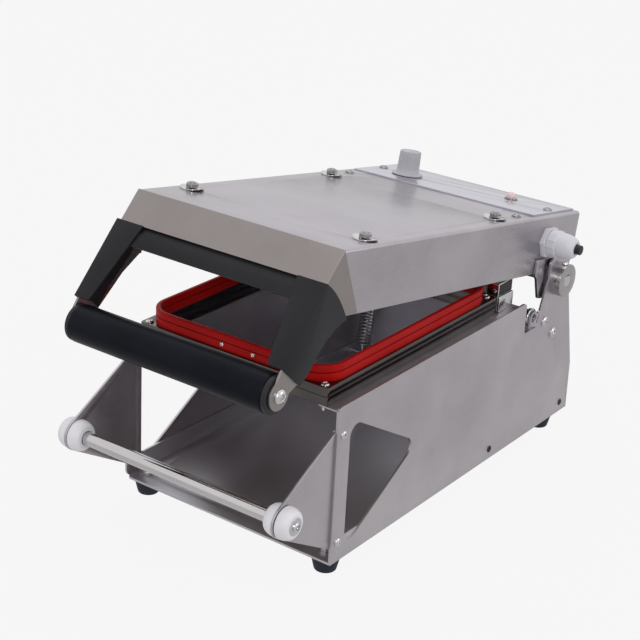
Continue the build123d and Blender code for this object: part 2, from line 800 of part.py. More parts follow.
lid_screw_places = [
    (side * (lid_half - lid_screw_inset), y) for side in SIDES for y in (lid_screw_y, panel_screw_y)
]


def lid_prism(plane, points, amount, mode=Mode.ADD):
    with BuildSketch(plane) as profile:
        with BuildLine():
            Polyline(*points, close=True)
        make_face()
    extrude(profile.sketch, amount=amount, mode=mode)


lid_profile = (
    (lid_front + seam_top_y, lid_top),
    (lid_tail, lid_top),
    (lid_tail, lid_rear_rise),
    (lid_tail - 16, lid_bottom),
    (lid_front + seam_bottom_y, lid_bottom),
    (lid_front + seam_top_y, lid_top - 2.5),
)

with BuildPart() as lid_shell:
    lid_prism(lid_side_plane(-lid_half), lid_profile, 2 * lid_half)
    top_edges = lid_shell.edges().filter_by(Axis((0, 0, 0), lid.y_dir)).group_by(SortBy.LENGTH)[-1]
    fillet(top_edges, lid_fold_radius)
    rear_edge = lid_shell.edges().filter_by(Axis.X).sort_by_distance(
        lid.from_local_coords((0, lid_tail, lid_top))
    )[0]
    fillet(rear_edge, lid_rear_radius)
    with BuildSketch(lid_side_plane(-lid_inner_half)):
        with BuildLine():
            Polyline(
                (lid_front - 5, lid_top - lid_sheet),
                (lid_tail - lid_sheet, lid_top - lid_sheet),
                (lid_tail - lid_sheet, lid_bottom - 5),
                (lid_front - 5, lid_bottom - 5),
                close=True,
            )
        make_face()
    extrude(amount=2 * lid_inner_half, mode=Mode.SUBTRACT)
    # holes for the heater studs, screws, thermostat spindle, lamp and cable gland
    with BuildSketch(lid.offset(lid_top)):
        with Locations(*stud_places):
            Circle(stud_radius + 0.6)
        with Locations(*lid_screw_places):
            Circle(m4_radius + seat_gap)
        with Locations((knob_x, knob_y)):
            Circle(knob_shaft_radius + 1.5)
        with Locations((lamp_x, lamp_y)):
            Circle(lamp_radius)
    extrude(amount=-(lid_sheet + 1), mode=Mode.SUBTRACT)
    cut_disc(lid_outward(lid_half, gland_y, gland_z, 1), gland_thread_radius + seat_gap, lid_sheet)
    for side in SIDES:
        cut_disc(lid_outward(side * lid_half, spring_head_y, spring_head_z, side), m4_radius, lid_sheet)
        cut_disc(lid_outward(side * lid_half, 0, 0, side), hinge_shaft_radius + 1.5, lid_sheet)
save(lid_shell, "lid_shell")

# ---------------------------------------------------------------- lid front panel with grip lugs
lug_radius = 12.0
cheek_tip_y = lid_front - 60.0
cheek_tip_z = lid_top - 88.0
axle_radius = 5.0
slope_end_y = lid_front - front_slope_y
slope_end_z = lid_top - front_slope_z

with BuildPart() as lid_front_panel:
    # sloping front sheet
    lid_prism(
        lid_side_plane(-lid_half),
        (
            (lid_front, lid_top),
            (slope_end_y, slope_end_z),
            (slope_end_y + 1.6, slope_end_z - 1.2),
            (lid_front + 0.9, lid_top - lid_sheet),
            (lid_front + seam_top_y - seam_gap, lid_top - lid_sheet),
            (lid_front + seam_top_y - seam_gap, lid_top),
        ),
        2 * lid_half,
    )
    # side cheeks that carry the grip
    for side in SIDES:
        with BuildSketch(lid_side_plane(side * (lid_half - lid_sheet / 2) - lid_sheet / 2)):
            with BuildLine():
                Polyline(
                    (lid_front, lid_top - 0.5),
                    (slope_end_y, slope_end_z),
                    (cheek_tip_y, cheek_tip_z),
                    (grip_y - lug_radius, grip_z),
                    (grip_y + lug_radius, grip_z),
                    (grip_y + 23.0, grip_z + 7.0),
                    (lid_front - 9.0, lid_top - 72.0),
                    (lid_front + 13.0, lid_bottom),
                    (lid_front + seam_bottom_y - seam_gap, lid_bottom),
                    (lid_front + seam_top_y - seam_gap, lid_top - 2.5),
                    close=True,
                )
            make_face()
            with Locations((grip_y, grip_z)):
                Circle(lug_radius)
                Circle(axle_radius + seat_gap, mode=Mode.SUBTRACT)
        extrude(amount=lid_sheet)
save(lid_front_panel, "lid_front_panel")

# ---------------------------------------------------------------- black handle bracket
cover_sheet = 2.0
arm_width_top = 27.0
arm_width_bottom = 14.0
inner_cover = 1.2
cover_gap = 0.1              # black covers to the steel cheeks
inner_cover_mid = lid_inner_half - cover_gap - inner_cover / 2
bar_top_z = lid_top - 32.3
bar_foot_z = lid_top - 41.4
slope_run = (cheek_tip_y - slope_end_y) / (cheek_tip_z - slope_end_z)
bar_top_y = slope_end_y + slope_run * (bar_top_z - slope_end_z)
bar_foot_y = slope_end_y + slope_run * (bar_foot_z - slope_end_z)
cover_inner = lid_half + cover_gap
cover_outer = cover_inner + cover_sheet
slope = Vector(0, cheek_tip_y - slope_end_y, cheek_tip_z - slope_end_z)
slope_length = slope.length
slope_plane = Plane(
    origin=lid.from_local_coords((0, slope_end_y, slope_end_z)),
    x_dir=(1, 0, 0),
    z_dir=-(lid.y_dir * (slope_end_z - cheek_tip_z) + lid.z_dir * (cheek_tip_y - slope_end_y)),
)

with BuildPart() as handle_bracket:
    for side in SIDES:
        # outer gusset over the steel cheek
        with BuildSketch(lid_side_plane(side * (cover_inner + cover_outer) / 2 - cover_sheet / 2)):
            with BuildLine():
                Polyline(
                    (cheek_tip_y + 24.0, cheek_tip_z - 15.5),
                    (cheek_tip_y, cheek_tip_z),
                    (slope_end_y, slope_end_z),
                )
                Spline(
                    (slope_end_y, slope_end_z),
                    (lid_front - 5.6, lid_top - 33.9),
                    (lid_front + 4.8, lid_top - 44.2),
                    (lid_front + 15.3, lid_top - 57.4),
                )
                Spline(
                    (lid_front + 15.3, lid_top - 57.4),
                    (lid_front + 2.0, lid_top - 63.0),
                    (lid_front - 15.7, lid_top - 78.5),
                    (lid_front - 25.0, lid_top - 91.6),
                    (cheek_tip_y + 24.0, cheek_tip_z - 15.5),
                )
            make_face()
        extrude(amount=cover_sheet)
        # tapering front face of the arm
        with BuildSketch(slope_plane):
            with BuildLine():
                Polyline(
                    (side * cover_outer, 0),
                    (side * (lid_half - arm_width_top), 0),
                    (side * (lid_half - arm_width_bottom), -slope_length),
                    (side * cover_outer, -slope_length),
                    close=True,
                )
            make_face()
        extrude(amount=cover_sheet)
        # inner cover, clear of the grip bar
        with BuildSketch(lid_side_plane(side * inner_cover_mid - inner_cover / 2)):
            with BuildLine():
                Polyline(
                    (cheek_tip_y + 24.6, cheek_tip_z - 11.0),
                    (cheek_tip_y + 3.0, cheek_tip_z + 3.0),
                    (slope_end_y + 1.0, slope_end_z),
                    (slope_end_y + 22.0, slope_end_z - 16.0),
                )
                Spline(
                    (slope_end_y + 22.0, slope_end_z - 16.0),
                    (lid_front - 8.0, lid_top - 62.0),
                    (lid_front - 24.0, lid_top - 80.0),
                    (cheek_tip_y + 24.6, cheek_tip_z - 11.0),
                )
            make_face()
        extrude(amount=inner_cover)
    # cross bar: a shelf that slopes in under the front panel, and a front strip in line with the arms
    lid_prism(
        lid_side_plane(-(lid_inner_half - 0.2)),
        (
            (slope_end_y + 2.6, slope_end_z - 1.2),
            (bar_top_y, bar_top_z),
            (bar_foot_y, bar_foot_z),
            (bar_foot_y + 1.7, bar_foot_z - 1.1),
            (bar_top_y + 1.9, bar_top_z - 1.4),
            (slope_end_y + 3.4, slope_end_z - 3.3),
        ),
        2 * (lid_inner_half - 0.2),
    )
save(handle_bracket, "handle_bracket")

# ---------------------------------------------------------------- grip bar
grip_half = lid_inner_half - side_play
cap_flange = 4.0
cap_plug = 14.0
grip_wall = 3.0
with BuildPart() as grip_tube:
    with BuildSketch(lid_side_plane(-(grip_half - cap_flange))):
        with Locations((grip_y, grip_z)):
            Circle(grip_radius)
            Circle(grip_radius - grip_wall, mode=Mode.SUBTRACT)
    extrude(amount=2 * (grip_half - cap_flange))
save(grip_tube, "grip_tube")

with BuildPart() as grip_end_caps:
    for side in SIDES:
        face = lid_outward(side * (grip_half - cap_flange), grip_y, grip_z, side)
        add_disc(face, grip_radius - 0.4, cap_flange)
        add_disc(face, grip_radius - grip_wall - seat_gap, -cap_plug)
        with BuildSketch(face.offset(cap_flange)):
            Circle(axle_radius + running_gap)
        extrude(amount=-(cap_flange + cap_plug), mode=Mode.SUBTRACT)
save(grip_end_caps, "grip_end_caps")

with BuildPart() as grip_axle:
    with BuildSketch(lid_side_plane(-lid_half)):
        with Locations((grip_y, grip_z)):
            Circle(axle_radius)
    extrude(amount=2 * lid_half)
save(grip_axle, "grip_axle")

with BuildPart() as grip_screws:
    for side in SIDES:
        face = lid_outward(side * lid_half, grip_y, grip_z, side)
        add_disc(face, 6.5, 1.2)
        add_disc(face.offset(1.2), 6.2, 3.2, taper=20)
save(grip_screws, "grip_screws")

# ---------------------------------------------------------------- hinge ears
ear_sheet = 3.0
ear_inner = lid_half + 0.05
bush_radius = 9.0
with BuildPart() as hinge_ears:
    for side in SIDES:
        with BuildSketch(lid_side_plane(side * (ear_inner + ear_sheet / 2) - ear_sheet / 2)) as ear:
            with BuildLine():
                Polyline(
                    (-39.5, 20.5),
                    (-39.5, 5.0),
                    (-34.5, 1.0),
                    (-25.0, -18.5),
                    (-9.0, -19.5),
                    (16.0, -8.0),
                    (28.0, 6.0),
                    (28.0, 20.5),
                    close=True,
                )
            make_face()
            fillet(ear.vertices(), 2.4)
            Circle(bush_radius, mode=Mode.SUBTRACT)
        extrude(amount=ear_sheet)
save(hinge_ears, "hinge_ears")

with BuildPart() as hinge_bushes:
    for side in SIDES:
        with BuildSketch(lid_outward(side * ear_inner, 0, 0, side)):
            Circle(bush_radius - seat_gap)
            Circle(hinge_shaft_radius + running_gap, mode=Mode.SUBTRACT)
        extrude(amount=ear_sheet)
save(hinge_bushes, "hinge_bushes")

with BuildPart() as lid_spring_pins:
    for side in SIDES:
        face = lid_outward(side * lid_inner_half, spring_head_y, spring_head_z, side)
        add_disc(face, spring_pin_radius, -(lid_inner_half - spring_x + pin_reach))
        pin_end = lid_outward(side * (spring_x - pin_reach), spring_head_y, spring_head_z, side)
        add_disc(pin_end, pin_head_radius, -pin_head_depth)
        add_disc(face, m4_radius - seat_gap, lid_sheet)
save(lid_spring_pins, "lid_spring_pins")

# ---------------------------------------------------------------- heater
heater_bottom = gasket_top + lid_gap - hinge_z
lid_ceiling = lid_top - lid_sheet
stud_head_gap = 0.1
washer_lift = 1.6
nut_height = 3.8
stud_tip = 1.0

with BuildPart() as heater_plate:
    with BuildSketch(lid.offset(heater_bottom)):
        with Locations((0, (heater_y0 + heater_y1) / 2)):
            RectangleRounded(2 * heater_half, heater_y1 - heater_y0, gasket_radius)
        with Locations(*stud_places):
            Circle(stud_radius + seat_gap, mode=Mode.SUBTRACT)
    extrude(amount=heater_thickness)
save(heater_plate, "heater_plate")

heater_top = heater_bottom + heater_thickness
insulation_thickness = 6.0
insulation_inset = 15.0
insulation_corner = 12.0
with BuildPart() as heater_insulation:
    with BuildSketch(lid.offset(heater_top + 0.05)):
        with Locations((0, (heater_y0 + heater_y1) / 2)):
            RectangleRounded(
                2 * (heater_half - insulation_inset),
                heater_y1 - heater_y0 - 2 * insulation_inset,
                insulation_corner,
            )
    extrude(amount=insulation_thickness)
save(heater_insulation, "heater_insulation")

with BuildPart() as heater_studs:
    with BuildSketch(lid.offset(heater_bottom)):
        with Locations(*stud_places):
            Circle(stud_radius)
    extrude(amount=lid_top + washer_lift + stud_head_gap + nut_height + stud_tip - heater_bottom)
    with BuildSketch(lid.offset(lid_top + washer_lift + stud_head_gap)):
        with Locations(*stud_places):
            RegularPolygon(5.8, 6)
    extrude(amount=nut_height)
save(heater_studs, "heater_studs")

with BuildPart() as heater_springs:
    with BuildSketch(lid.offset(heater_top + 0.05)):
        with Locations(*stud_places):
            Circle(stud_radius + 3.2)
            Circle(stud_radius + 0.8, mode=Mode.SUBTRACT)
    extrude(amount=lid_ceiling - heater_top - 0.1)
save(heater_springs, "heater_springs")

washer_radius = 10.5
washer_thickness = 0.8
washer_arch = 1.55           # the tips stand this much lower than the crown
washer_gap = 0.05
washer_strip = washer_radius + 1.5
with BuildPart() as washer_discs:
    with BuildSketch(lid.offset(lid_top)):
        with Locations(*stud_places):
            Circle(washer_radius)
            Circle(stud_radius + 0.6, mode=Mode.SUBTRACT)
    extrude(amount=4)

with BuildPart() as curved_washers:
    for x, y in stud_places:
        # an arched strip, cut to a disc below: its tips across the width stand clear of the lid
        strip_end = lid.from_local_coords((x, y - washer_strip, lid_top))
        with BuildSketch(Plane(origin=strip_end, x_dir=(1, 0, 0), z_dir=lid.y_dir)):
            with BuildLine():
                lower = ThreePointArc(
                    (-washer_radius, -(washer_arch + washer_gap)),
                    (0, -washer_gap),
                    (washer_radius, -(washer_arch + washer_gap)),
                )
                upper = ThreePointArc(
                    (-washer_radius, -(washer_arch + washer_gap + washer_thickness)),
                    (0, -(washer_gap + washer_thickness)),
                    (washer_radius, -(washer_arch + washer_gap + washer_thickness)),
                )
                Line(lower @ 0, upper @ 0)
                Line(lower @ 1, upper @ 1)
            make_face()
        extrude(amount=2 * washer_strip)
    add(washer_discs.part, mode=Mode.INTERSECT)
save(curved_washers, "curved_washers")

# ---------------------------------------------------------------- control panel on the lid
panel_sheet = 1.5
panel_half = lid_half - 6.0
panel_y0 = lid_tail - 89.0
panel_y1 = lid_tail - 8.0
panel_top = lid_top + panel_sheet
with BuildPart() as control_panel:
    with BuildSketch(lid.offset(lid_top)):
        with Locations((0, (panel_y0 + panel_y1) / 2)):
            Rectangle(2 * panel_half, panel_y1 - panel_y0)
        with Locations(*[place for place in lid_screw_places if place[1] > panel_y0]):
            Circle(m4_radius + seat_gap, mode=Mode.SUBTRACT)
        with Locations((knob_x, knob_y)):
            Circle(knob_shaft_radius + 1.5, mode=Mode.SUBTRACT)
        with Locations((lamp_x, lamp_y)):
            Circle(lamp_radius, mode=Mode.SUBTRACT)
    extrude(amount=panel_sheet)
save(control_panel, "control_panel")

lid_screw_head = 4.4
lid_screw_head_depth = 2.2
with BuildPart() as lid_screws:
    for x, y in lid_screw_places:
        seat = panel_top if y > panel_y0 else lid_top
        with BuildSketch(lid.offset(seat)):
            with Locations((x, y)):
                Circle(lid_screw_head)
        extrude(amount=lid_screw_head_depth, taper=25)
        with BuildSketch(lid.offset(seat)):
            with Locations((x, y)):
                Circle(m4_radius)
        extrude(amount=-(seat - lid_ceiling + 4))
save(lid_screws, "lid_screws")

knob_radius = 11.0
knob_height = 22.0
skirt_radius = 15.5
skirt_height = 2.0
knob_gap = 0.4
with BuildPart() as temperature_knob:
    with BuildSketch(lid.offset(panel_top + knob_gap)):
        with Locations((knob_x, knob_y)):
            Circle(skirt_radius)
    extrude(amount=skirt_height)
    with BuildSketch(lid.offset(panel_top + knob_gap + skirt_height)):
        with Locations((knob_x, knob_y)):
            Circle(knob_radius)
    extrude(amount=knob_height, taper=1.5)
    with BuildSketch(lid.offset(lid_ceiling - 2)):
        with Locations((knob_x, knob_y)):
            Circle(knob_shaft_radius)
    extrude(amount=panel_top + knob_gap + 2 - lid_ceiling)
    with BuildSketch(lid.offset(panel_top + knob_gap + skirt_height + knob_height)):
        with Locations((knob_x, knob_y)):
            with PolarLocations(knob_radius, 20):
                Circle(0.9)
    extrude(amount=-(knob_height - 3), mode=Mode.SUBTRACT)
save(temperature_knob, "temperature_knob")

thermostat_width = 38.0
thermostat_length = 34.0
thermostat_height = 22.0
thermostat_drop = 2.2        # below the lid's ceiling, under the knob's spindle
with BuildPart() as thermostat:
    with BuildSketch(lid.offset(lid_ceiling - thermostat_drop)):
        with Locations((knob_x, knob_y)):
            RectangleRounded(thermostat_width, thermostat_length, 3)
    extrude(amount=-thermostat_height)
save(thermostat, "thermostat")

lens_radius = 4.4
lens_depth = 10.0
lens_rise = 2.5              # straight part above the panel, under the dome
bezel_radius = 6.2
bezel_height = 1.6
bezel_depth = 18.0
bezel_bore = lens_radius + 2 * seat_gap
with BuildPart() as lamp_bezel:
    with BuildSketch(lid.offset(panel_top)):
        with Locations((lamp_x, lamp_y)):
            Circle(bezel_radius)
            Circle(bezel_bore, mode=Mode.SUBTRACT)
    extrude(amount=bezel_height)
    with BuildSketch(lid.offset(panel_top)):
        with Locations((lamp_x, lamp_y)):
            Circle(lamp_radius - seat_gap)
            Circle(bezel_bore, mode=Mode.SUBTRACT)
    extrude(amount=-bezel_depth)
save(lamp_bezel, "lamp_bezel")

with BuildPart() as lamp_lens:
    with BuildSketch(lid.offset(panel_top - lens_depth)):
        with Locations((lamp_x, lamp_y)):
            Circle(lens_radius)
    extrude(amount=lens_depth + lens_rise)
    with Locations(lid.from_local_coords((lamp_x, lamp_y, panel_top + lens_rise))):
        Sphere(lens_radius)
save(lamp_lens, "lamp_lens")

# ---------------------------------------------------------------- cable gland and lead stub
gland_nut_depth = 5.0
gland_body_depth = 26.0
gland_radius = 12.8
lead_radius = 4.6
thread_tail = 8.0
gland_thread_length = gland_nut_depth + lid_sheet + thread_tail
gland_face = lid_outward(lid_half, gland_y, gland_z, 1)
with BuildPart() as gland_nut:
    with BuildSketch(gland_face):
        RegularPolygon(15.5, 6)
        Circle(gland_thread_radius + seat_gap, mode=Mode.SUBTRACT)
    extrude(amount=gland_nut_depth)
    with BuildSketch(gland_face.offset(-lid_sheet)):
        RegularPolygon(14.0, 6)
        Circle(gland_thread_radius + seat_gap, mode=Mode.SUBTRACT)
    extrude(amount=-4)
save(gland_nut, "gland_nut")

with BuildPart() as cable_gland:
    add_disc(gland_face.offset(gland_nut_depth), gland_radius, 12)
    with BuildSketch(gland_face.offset(gland_nut_depth + 12)):
        Circle(gland_radius)
    with BuildSketch(gland_face.offset(gland_nut_depth + 21)):
        Circle(gland_radius - 3.0)
    with BuildSketch(gland_face.offset(gland_nut_depth + gland_body_depth)):
        Circle(lead_radius + 2.6)
    loft()
    add_disc(gland_face.offset(gland_nut_depth), gland_thread_radius, -gland_thread_length)
    with BuildSketch(gland_face.offset(gland_nut_depth + gland_body_depth)):
        Circle(lead_radius + seat_gap)
    extrude(amount=-(gland_body_depth + gland_thread_length), mode=Mode.SUBTRACT)
save(cable_gland, "cable_gland")

with BuildPart() as lead_stub:
    add_disc(gland_face.offset(gland_reach), lead_radius, -(gland_reach + lid_sheet + thread_tail + 12))
save(lead_stub, "lead_stub")
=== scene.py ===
import json
import math

import bmesh
import bpy
from mathutils import Matrix, Vector

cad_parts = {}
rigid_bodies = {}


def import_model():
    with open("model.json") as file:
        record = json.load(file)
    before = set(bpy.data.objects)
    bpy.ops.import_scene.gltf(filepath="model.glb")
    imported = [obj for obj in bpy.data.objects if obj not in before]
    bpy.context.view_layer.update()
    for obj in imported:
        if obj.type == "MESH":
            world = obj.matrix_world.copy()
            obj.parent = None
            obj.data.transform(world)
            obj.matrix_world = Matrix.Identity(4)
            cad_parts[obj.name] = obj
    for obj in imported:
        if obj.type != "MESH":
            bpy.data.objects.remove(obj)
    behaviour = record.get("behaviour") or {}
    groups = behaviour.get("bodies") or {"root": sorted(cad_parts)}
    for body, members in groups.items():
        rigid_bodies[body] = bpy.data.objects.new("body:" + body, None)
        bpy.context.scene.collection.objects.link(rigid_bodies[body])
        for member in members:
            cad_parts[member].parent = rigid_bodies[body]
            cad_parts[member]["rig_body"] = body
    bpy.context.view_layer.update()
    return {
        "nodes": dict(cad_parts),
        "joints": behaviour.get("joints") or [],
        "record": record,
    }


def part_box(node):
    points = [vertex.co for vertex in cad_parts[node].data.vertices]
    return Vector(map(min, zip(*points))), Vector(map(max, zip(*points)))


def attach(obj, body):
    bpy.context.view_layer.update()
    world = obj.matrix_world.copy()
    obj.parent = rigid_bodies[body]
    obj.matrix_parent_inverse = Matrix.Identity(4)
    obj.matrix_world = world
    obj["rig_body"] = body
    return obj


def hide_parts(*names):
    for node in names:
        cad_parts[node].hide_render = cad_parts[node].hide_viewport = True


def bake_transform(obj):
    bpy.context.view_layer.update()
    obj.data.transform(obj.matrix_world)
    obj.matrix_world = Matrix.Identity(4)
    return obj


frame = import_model()
scene = bpy.context.scene

MM = 0.001
X_AXIS = Vector((1, 0, 0))
joints = {joint["name"]: joint for joint in frame["joints"]}
hinge = Vector(joints["lid_hinge"]["pos_m"])
grip_axis = Vector(joints["grip_spin"]["pos_m"])
rod_axis = Vector(joints["film_rod_spin"]["pos_m"])
knob_foot = Vector(joints["knob_turn"]["pos_m"])
lid_up = Vector(joints["knob_turn"]["axis"]).normalized()
lid_tilt = math.atan2(lid_up.y, lid_up.z)
mid_x = hinge.x


# ---------------------------------------------------------------- materials
def new_material(name, color, roughness, metallic=0.0):
    material = bpy.data.materials.new(name)
    material.use_nodes = True
    shader = material.node_tree.nodes["Principled BSDF"]
    shader.inputs["Base Color"].default_value = (*color, 1)
    shader.inputs["Roughness"].default_value = roughness
    shader.inputs["Metallic"].default_value = metallic
    return material, shader


def texture_space(material, scale, rotation=(0, 0, 0)):
    nodes, links = material.node_tree.nodes, material.node_tree.links
    coordinates = nodes.new("ShaderNodeTexCoord")
    mapping = nodes.new("ShaderNodeMapping")
    mapping.inputs["Rotation"].default_value = rotation
    mapping.inputs["Scale"].default_value = scale
    links.new(coordinates.outputs["Object"], mapping.inputs["Vector"])
    return mapping.outputs["Vector"]


def noise(material, vector, scale, detail=4.0, roughness=0.55):
    node = material.node_tree.nodes.new("ShaderNodeTexNoise")
    node.inputs["Scale"].default_value = scale
    node.inputs["Detail"].default_value = detail
    node.inputs["Roughness"].default_value = roughness
    material.node_tree.links.new(vector, node.inputs["Vector"])
    return node.outputs["Fac"]


def remap(material, value, low, high, start=0.3, end=0.7):
    node = material.node_tree.nodes.new("ShaderNodeMapRange")
    node.inputs["From Min"].default_value = start
    node.inputs["From Max"].default_value = end
    node.inputs["To Min"].default_value = low
    node.inputs["To Max"].default_value = high
    material.node_tree.links.new(value, node.inputs["Value"])
    return node.outputs["Result"]


def tint(material, value, dark, light):
    node = material.node_tree.nodes.new("ShaderNodeMix")
    node.data_type = "RGBA"
    node.inputs["A"].default_value = (*dark, 1)
    node.inputs["B"].default_value = (*light, 1)
    material.node_tree.links.new(value, node.inputs["Factor"])
    return node.outputs["Result"]


def bump(material, shader, height, strength, distance):
    node = material.node_tree.nodes.new("ShaderNodeBump")
    node.inputs["Strength"].default_value = strength
    node.inputs["Distance"].default_value = distance
    material.node_tree.links.new(height, node.inputs["Height"])
    material.node_tree.links.new(node.outputs["Normal"], shader.inputs["Normal"])


def brushed_steel(name, dark, light, roughness, along="y", tilt=0.0, grain=0.12):
    """Sheet steel with a fine brushed grain along one axis, and faint clouding from handling."""
    material, shader = new_material(name, light, roughness, 1.0)
    scale = {"x": (60, 1900, 1900), "y": (1900, 60, 1900), "z": (1900, 1900, 60)}[along]
    strokes = noise(material, texture_space(material, scale, (tilt, 0, 0)), 1.0, 3.0)
    clouds = noise(material, texture_space(material, (1, 1, 1)), 11.0, 6.0, 0.6)
    links = material.node_tree.links
    mix = material.node_tree.nodes.new("ShaderNodeMath")
    mix.operation = "MULTIPLY_ADD"
    mix.inputs[1].default_value = 0.4
    links.new(strokes, mix.inputs[0])
    links.new(remap(material, clouds, 0.1, 0.6), mix.inputs[2])
    links.new(tint(material, mix.outputs[0], dark, light), shader.inputs["Base Color"])
    rough = material.node_tree.nodes.new("ShaderNodeMath")
    rough.operation = "ADD"
    links.new(remap(material, strokes, roughness - 0.05, roughness + 0.05), rough.inputs[0])
    links.new(remap(material, clouds, -0.04, 0.05), rough.inputs[1])
    links.new(rough.outputs[0], shader.inputs["Roughness"])
    bump(material, shader, strokes, grain, 0.00003)
    return material


def moulded(name, color, roughness, texture=0.15, scale=2200.0, specular=0.4):
    """Moulded or painted surface with a fine orange-peel texture and slight colour drift."""
    material, shader = new_material(name, color, roughness)
    shader.inputs["Specular IOR Level"].default_value = specular
    space = texture_space(material, (1, 1, 1))
    fine = noise(material, space, scale, 2.0)
    clouds = noise(material, space, 22.0, 4.0)
    light = tuple(min(1.0, channel * 1.25 + 0.002) for channel in color)
    links = material.node_tree.links
    links.new(tint(material, remap(material, clouds, 0, 1), color, light), shader.inputs["Base Color"])
    links.new(remap(material, fine, roughness - 0.05, roughness + 0.08), shader.inputs["Roughness"])
    bump(material, shader, fine, texture, 0.00006)
    return material


STEEL_DARK = (0.37, 0.34, 0.365)
STEEL_LIGHT = (0.6, 0.565, 0.59)
materials = {
    "side_steel": brushed_steel("side_steel", STEEL_DARK, STEEL_LIGHT, 0.36, "y"),
    "cross_steel": brushed_steel("cross_steel", STEEL_DARK, STEEL_LIGHT, 0.34, "x"),
    "pan_steel": brushed_steel("pan_steel", (0.46, 0.445, 0.47), (0.6, 0.58, 0.62), 0.42, "y"),
    # the steel rear panel in a light lavender diffuse colour, a painted reflection of the light its inner
    # face shows
    "rear_paint": moulded("rear_paint", (0.52, 0.51, 0.58), 0.4, 0.1, 900.0, 0.6),
    # a darker steel for the lid screws, heater studs and lamp bezel, painted shade for the dark gaps round
    # their heads
    "screw_steel": brushed_steel("screw_steel", (0.22, 0.21, 0.21), (0.4, 0.39, 0.39), 0.12, "x", grain=0.04),
    # a much lighter steel than the front panel's, a painted highlight on the front panel's rolled bends
    "bend_steel": brushed_steel("bend_steel", (0.62, 0.6, 0.6), (0.78, 0.76, 0.76), 0.3, "z", grain=0.06),
    "gland_nylon": moulded("gland_nylon", (0.5, 0.49, 0.53), 0.4, 0.05, 900.0),
    "cap_steel": brushed_steel("cap_steel", (0.34, 0.33, 0.33), (0.5, 0.48, 0.48), 0.24, "z", grain=0.06),
    "upright_steel": brushed_steel("upright_steel", (0.36, 0.34, 0.37), (0.47, 0.45, 0.49), 0.3, "z"),
    "lid_steel": brushed_steel("lid_steel", (0.34, 0.315, 0.34), (0.54, 0.51, 0.54), 0.31, "y", lid_tilt),
    # a darker, warmer copy of the lid's steel, painted shade on the lid's front panel
    "front_steel": brushed_steel("front_steel", (0.25, 0.225, 0.215), (0.35, 0.315, 0.305), 0.34, "x"),
    "panel_steel": brushed_steel("panel_steel", (0.5, 0.49, 0.53), (0.64, 0.63, 0.69), 0.28, "x", lid_tilt),
    "frame_steel": brushed_steel("frame_steel", (0.05, 0.045, 0.043), (0.17, 0.157, 0.15), 0.16, "y"),
    "bright_steel": brushed_steel("bright_steel", (0.5, 0.49, 0.5), (0.7, 0.69, 0.7), 0.14, "x", grain=0.06),
    "rod_steel": brushed_steel("rod_steel", (0.5, 0.48, 0.48), (0.66, 0.64, 0.64), 0.12, "x", grain=0.05),
    "spring_wire": brushed_steel("spring_wire", (0.4, 0.4, 0.41), (0.6, 0.6, 0.61), 0.22, "z", grain=0.06),
    "black_paint": moulded("black_paint", (0.009, 0.009, 0.011), 0.42, 0.25, 1600.0, 0.22),
    "grip_plastic": moulded("grip_plastic", (0.003, 0.0035, 0.007), 0.36, 0.05, 1200.0, 0.09),
    "black_plastic": moulded("black_plastic", (0.012, 0.012, 0.014), 0.42, 0.15, 2200.0, 0.3),
    "white_nylon": moulded("white_nylon", (0.61, 0.6, 0.63), 0.36, 0.05, 900.0),
    "knob_plastic": moulded("knob_plastic", (0.35, 0.345, 0.37), 0.42),
    "silicone": moulded("silicone", (0.3, 0.002, 0.0015), 0.4, 0.06, 700.0, 0.1),
    "foot_rubber": moulded("foot_rubber", (0.008, 0.009, 0.02), 0.6, 0.3, 900.0, 0.3),
    "heater_coating": moulded("heater_coating", (0.33, 0.26, 0.18), 0.5, 0.2, 500.0),
    "insulation": moulded("insulation", (0.6, 0.57, 0.5), 0.9, 0.8, 300.0, 0.2),
}


def clear_red():
    material, shader = new_material("clear_red", (0.93, 0.68, 0.68), 0.06)
    shader.inputs["Transmission Weight"].default_value = 0.35
    shader.inputs["Coat Weight"].default_value = 0.6
    facets = noise(material, texture_space(material, (1, 1, 1)), 400.0, 2.0)
    bump(material, shader, facets, 0.1, 0.0001)
    return material


materials["clear_red"] = clear_red()


def dress(piece, material):
    piece.data.materials.clear()
    piece.data.materials.append(materials[material])


# ---------------------------------------------------------------- mesh helpers
def place(name, mesh, material, body, slot_name, *nodes):
    piece = bpy.data.objects.new(name, mesh)
    scene.collection.objects.link(piece)
    dress(piece, material)
    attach(piece, body)
    if nodes:
        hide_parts(*nodes)
    return piece


def finished_mesh(builder, name, angle=32):
    mesh = bpy.data.meshes.new(name)
    bmesh.ops.recalc_face_normals(builder, faces=builder.faces)
    builder.to_mesh(mesh)
    builder.free()
    mesh.shade_smooth()
    mesh.set_sharp_from_angle(angle=math.radians(angle))
    return mesh


def node_body(node):
    return frame["nodes"][node]["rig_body"]


def node_slot(node):
    return next(part["material_slot"] for part in frame["record"]["subparts"] if part["node"] == node)


